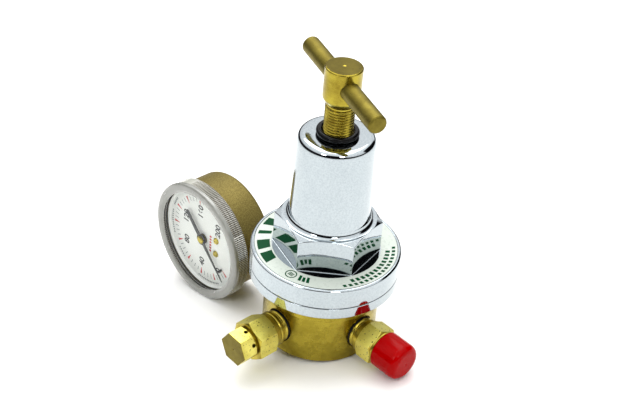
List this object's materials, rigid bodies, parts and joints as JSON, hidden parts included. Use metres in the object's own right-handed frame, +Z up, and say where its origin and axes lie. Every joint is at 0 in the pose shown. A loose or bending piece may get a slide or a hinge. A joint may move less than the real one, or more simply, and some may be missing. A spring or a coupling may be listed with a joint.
{
  "type": "gas pressure regulator",
  "caption": "Single-stage brass gas regulator with chromed bonnet, T-handle screw, side pressure gauge, relief valve and capped outlet.",
  "frame": {"origin": "centre of the body's flat underside", "axes": "+Z up the regulator's own axis through the bonnet and the screw; +X along the outlet; +Y out of the inlet port; the gauge stands on a stem along -X and faces -Y; the relief valve leaves along -Y"},
  "size_m": [0.1509, 0.0844, 0.1508],
  "materials": {
    "turned_brass": "turned and slightly aged",
    "chrome_plate": "polished plate",
    "gold_paint": "satin gold-bronze",
    "clear_lens": "moulded clear polycarbonate",
    "dial_enamel": "white enamel with printed scale",
    "label_print": "printed label",
    "red_vinyl": "glossy dip-moulded vinyl",
    "black_rubber": "matt",
    "seat_plastic": "turned",
    "spring_steel": "drawn wire",
    "zinc_steel": "zinc plated",
    "sintered_bronze": "sintered, porous",
    "bourdon_bronze": "phosphor bronze",
    "black_paint": "satin black",
    "thread_sealant": "dried paste"
  },
  "bodies": {
    "regulator": {"regulator_body": "turned_brass", "lock_ring": "chrome_plate", "valve_nozzle": "turned_brass", "valve_spring": "spring_steel", "inlet_filter": "sintered_bronze", "diaphragm": "black_rubber", "slip_ring": "zinc_steel", "bonnet": "chrome_plate", "label_ring": "label_print", "screw_o_ring": "black_rubber", "main_spring": "spring_steel", "outlet_fitting": "turned_brass", "relief_body": "turned_brass", "relief_cap": "turned_brass", "relief_spring": "spring_steel", "outlet_sealant": "thread_sealant", "relief_sealant": "thread_sealant", "gauge_sealant": "thread_sealant", "gauge_lens": "clear_lens", "gauge_case": "gold_paint", "gauge_socket": "turned_brass", "lens_gasket": "black_rubber", "gauge_dial": "dial_enamel", "dial_screws": "turned_brass", "stop_pin": "black_paint", "movement_front_plate": "turned_brass", "movement_back_plate": "turned_brass", "movement_posts": "turned_brass", "sector_arbor": "turned_brass", "bourdon_tube": "bourdon_bronze", "tube_tip": "turned_brass", "hairspring": "bourdon_bronze"},
    "spring_button": {"spring_button": "zinc_steel", "thrust_ball": "spring_steel"},
    "handle": {"adjusting_screw": "turned_brass", "t_bar": "turned_brass"},
    "diaphragm_stack": {"diaphragm_hub": "turned_brass", "spring_seat": "zinc_steel"},
    "valve": {"valve_poppet": "turned_brass", "valve_seat": "seat_plastic"},
    "relief_disc": {"relief_disc": "turned_brass", "relief_seal": "black_rubber"},
    "dust_cap": {"outlet_cap": "red_vinyl"},
    "sector": {"sector_gear": "turned_brass"},
    "pointer": {"pointer": "black_paint", "pointer_hub": "turned_brass", "pinion": "turned_brass"},
    "link": {"movement_link": "turned_brass"}
  },
  "joints": [
    {"name": "screw_turn", "type": "hinge", "parent": "spring_button", "child": "handle", "pos_m": [0, 0, 0.1], "axis": [0, 0, -1], "range_deg": [0, 2701]},
    {"name": "screw_travel", "type": "slide", "parent": "regulator", "child": "spring_button", "axis": [0, 0, -1], "range_m": [0, 0.00953], "deforming": ["main_spring"]},
    {"name": "diaphragm_travel", "type": "slide", "parent": "regulator", "child": "diaphragm_stack", "axis": [0, 0, -1], "range_m": [0, 0.0009], "stiffness_N_per_m": 2000, "springref_m": -0.001, "deforming": ["diaphragm"]},
    {"name": "valve_travel", "type": "slide", "parent": "regulator", "child": "valve", "axis": [0, 0, -1], "range_m": [0, 0.0009], "deforming": ["valve_spring"]},
    {"name": "relief_lift", "type": "slide", "parent": "regulator", "child": "relief_disc", "axis": [0, -1, 0], "range_m": [0, 0.0015], "stiffness_N_per_m": 1500, "springref_m": -0.002, "deforming": ["relief_spring"]},
    {"name": "cap_pull", "type": "slide", "parent": "regulator", "child": "dust_cap", "axis": [1, 0, 0], "range_m": [0, 0.03]},
    {"name": "sector_turn", "type": "hinge", "parent": "regulator", "child": "sector", "pos_m": [-0.0573, 0, 0.01335], "axis": [0, -1, 0], "range_deg": [0, 27], "stiffness_Nm_per_rad": 0.005, "springref_deg": -5.73},
    {"name": "pointer_turn", "type": "hinge", "parent": "regulator", "child": "pointer", "pos_m": [-0.0683, 0, 0.01335], "axis": [0, 1, 0], "range_deg": [0, 270], "deforming": ["hairspring"]},
    {"name": "link_swing", "type": "hinge", "parent": "sector", "child": "link", "pos_m": [-0.0521, 0, 0.01335], "axis": [0, 1, 0], "range_deg": [0, 27]}
  ],
  "couplings": [
    {"joint": "screw_turn", "follows": "screw_travel", "rad_per_m": 4947.4},
    {"joint": "valve_travel", "follows": "diaphragm_travel", "ratio": 1},
    {"joint": "pointer_turn", "follows": "sector_turn", "ratio": 10},
    {"joint": "link_swing", "follows": "sector_turn", "ratio": 1}
  ]
}
